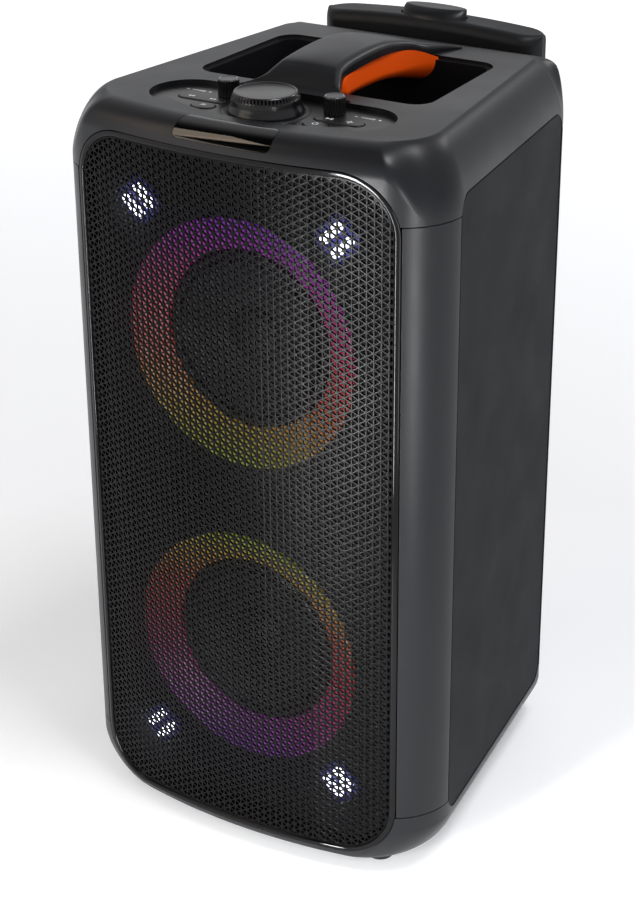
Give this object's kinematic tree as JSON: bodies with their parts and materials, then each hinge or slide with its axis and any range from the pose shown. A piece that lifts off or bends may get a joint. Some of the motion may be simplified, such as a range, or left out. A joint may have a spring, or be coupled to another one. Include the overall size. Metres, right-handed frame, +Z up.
{
  "type": "party speaker",
  "caption": "Tall portable party speaker with woofers and light rings behind one bowed grille, top knobs and keys, an orange-gripped carry handle, and a pull-up trolley with rear wheels.",
  "frame": {"origin": "on the floor at the bottom centre of the bounding box, where the feet stand", "axes": "+Z up along the height; -Y is the way the grille faces; +X is to the right of somebody facing the grille"},
  "size_m": [0.3, 0.3149, 0.5744],
  "materials": {
    "abs_satin": "satin moulded ABS, dark grey",
    "abs_textured": "fine-textured moulded ABS, dark grey",
    "abs_gloss": "gloss black ABS",
    "steel_black": "black powder-coated steel",
    "steel_bright": "bright drawn steel",
    "aluminium_anodised": "clear anodised aluminium tube",
    "board_black": "fibreboard painted black",
    "board_green": "glass-fibre circuit board, green solder mask",
    "ferrite": "dark grey ferrite and steel motor",
    "cone_paper": "coated paper pulp, black",
    "rubber_black": "matt black rubber",
    "wheel_rubber": "matt black solid rubber tyre",
    "diffuser": "milky polycarbonate light guide",
    "lamp_lens": "clear white polycarbonate lamp lens",
    "lens_smoked": "smoked polycarbonate window",
    "grip_orange": "soft-touch orange rubber",
    "battery_wrap": "blue shrink wrap"
  },
  "bodies": {
    "cabinet": {"amplifier_board": "board_green", "bass_port": "abs_textured", "battery_pack": "battery_wrap", "bottom_cap": "abs_satin", "control_board": "board_green", "corner_strip_left": "abs_satin", "corner_strip_right": "abs_satin", "display_lens": "lens_smoked", "foot_front_left": "rubber_black", "foot_front_right": "rubber_black", "foot_rear_left": "rubber_black", "foot_rear_right": "rubber_black", "front_baffle": "board_black", "grille": "steel_black", "grille_bezel": "abs_gloss", "handle_cover": "abs_satin", "handle_grip": "grip_orange", "handle_well": "abs_textured", "jack_block": "abs_textured", "light_ring_lower": "diffuser", "light_ring_upper": "diffuser", "mains_inlet": "abs_textured", "rear_panel": "abs_textured", "side_panel_left": "abs_textured", "side_panel_right": "abs_textured", "socket_panel": "abs_gloss", "strobe_lower_left": "lamp_lens", "strobe_lower_right": "lamp_lens", "strobe_upper_left": "lamp_lens", "strobe_upper_right": "lamp_lens", "top_cap": "abs_satin", "trolley_housing": "abs_textured", "trolley_sleeve_left": "aluminium_anodised", "trolley_sleeve_right": "aluminium_anodised", "wheel_axle": "steel_bright", "wheel_box_left": "abs_textured", "wheel_box_right": "abs_textured", "woofer_basket_lower": "steel_black", "woofer_basket_upper": "steel_black", "woofer_magnet_lower": "ferrite", "woofer_magnet_upper": "ferrite", "woofer_surround_lower": "rubber_black", "woofer_surround_upper": "rubber_black"},
    "volume": {"volume_knob": "abs_gloss"},
    "bass": {"bass_knob": "abs_gloss"},
    "treble": {"treble_knob": "abs_gloss"},
    "rocker_left": {"rocker_left": "abs_gloss"},
    "rocker_right": {"rocker_right": "abs_gloss"},
    "mode": {"mode_button": "abs_gloss"},
    "power": {"power_button": "abs_gloss"},
    "trolley": {"trolley_grip": "rubber_black", "trolley_tube_left": "aluminium_anodised", "trolley_tube_right": "aluminium_anodised"},
    "trolley_release": {"trolley_button": "abs_satin"},
    "wheel_left": {"wheel_hub_left": "abs_textured", "wheel_tyre_left": "wheel_rubber"},
    "wheel_right": {"wheel_hub_right": "abs_textured", "wheel_tyre_right": "wheel_rubber"},
    "cone_lower": {"woofer_cone_lower": "cone_paper"},
    "cone_upper": {"woofer_cone_upper": "cone_paper"}
  },
  "joints": [
    {"name": "volume_turn", "type": "hinge", "parent": "cabinet", "child": "volume", "pos_m": [0, -0.096, 0.558], "axis": [0, 0, 1], "continuous": true},
    {"name": "bass_turn", "type": "hinge", "parent": "cabinet", "child": "bass", "pos_m": [-0.042, -0.077, 0.556], "axis": [0, 0, 1], "range_deg": [-150, 150]},
    {"name": "treble_turn", "type": "hinge", "parent": "cabinet", "child": "treble", "pos_m": [0.042, -0.077, 0.556], "axis": [0, 0, 1], "range_deg": [-150, 150]},
    {"name": "rocker_left_tilt", "type": "hinge", "parent": "cabinet", "child": "rocker_left", "pos_m": [-0.054, -0.0915, 0.547], "axis": [0, 1, 0], "range_deg": [-2.5, 2.5], "stiffness_Nm_per_rad": 0.6},
    {"name": "rocker_right_tilt", "type": "hinge", "parent": "cabinet", "child": "rocker_right", "pos_m": [0.054, -0.0915, 0.547], "axis": [0, 1, 0], "range_deg": [-2.5, 2.5], "stiffness_Nm_per_rad": 0.6},
    {"name": "mode_press", "type": "slide", "parent": "cabinet", "child": "mode", "axis": [0, 0, -1], "range_m": [0, 0.001], "stiffness_N_per_m": 700},
    {"name": "power_press", "type": "slide", "parent": "cabinet", "child": "power", "axis": [0, 0, -1], "range_m": [0, 0.001], "stiffness_N_per_m": 700},
    {"name": "trolley_lift", "type": "slide", "parent": "cabinet", "child": "trolley", "axis": [0, 0, 1], "range_m": [0, 0.38]},
    {"name": "trolley_release_press", "type": "slide", "parent": "trolley", "child": "trolley_release", "axis": [0, 0, -1], "range_m": [0, 0.004], "stiffness_N_per_m": 800},
    {"name": "wheel_left_spin", "type": "hinge", "parent": "cabinet", "child": "wheel_left", "pos_m": [-0.075, 0.1245, 0.035], "axis": [1, 0, 0], "continuous": true},
    {"name": "wheel_right_spin", "type": "hinge", "parent": "cabinet", "child": "wheel_right", "pos_m": [0.075, 0.1245, 0.035], "axis": [1, 0, 0], "continuous": true},
    {"name": "cone_lower_move", "type": "slide", "parent": "cabinet", "child": "cone_lower", "axis": [0, -1, 0], "range_m": [-0.0025, 0.0025], "stiffness_N_per_m": 1200},
    {"name": "cone_upper_move", "type": "slide", "parent": "cabinet", "child": "cone_upper", "axis": [0, -1, 0], "range_m": [-0.0025, 0.0025], "stiffness_N_per_m": 1200}
  ]
}
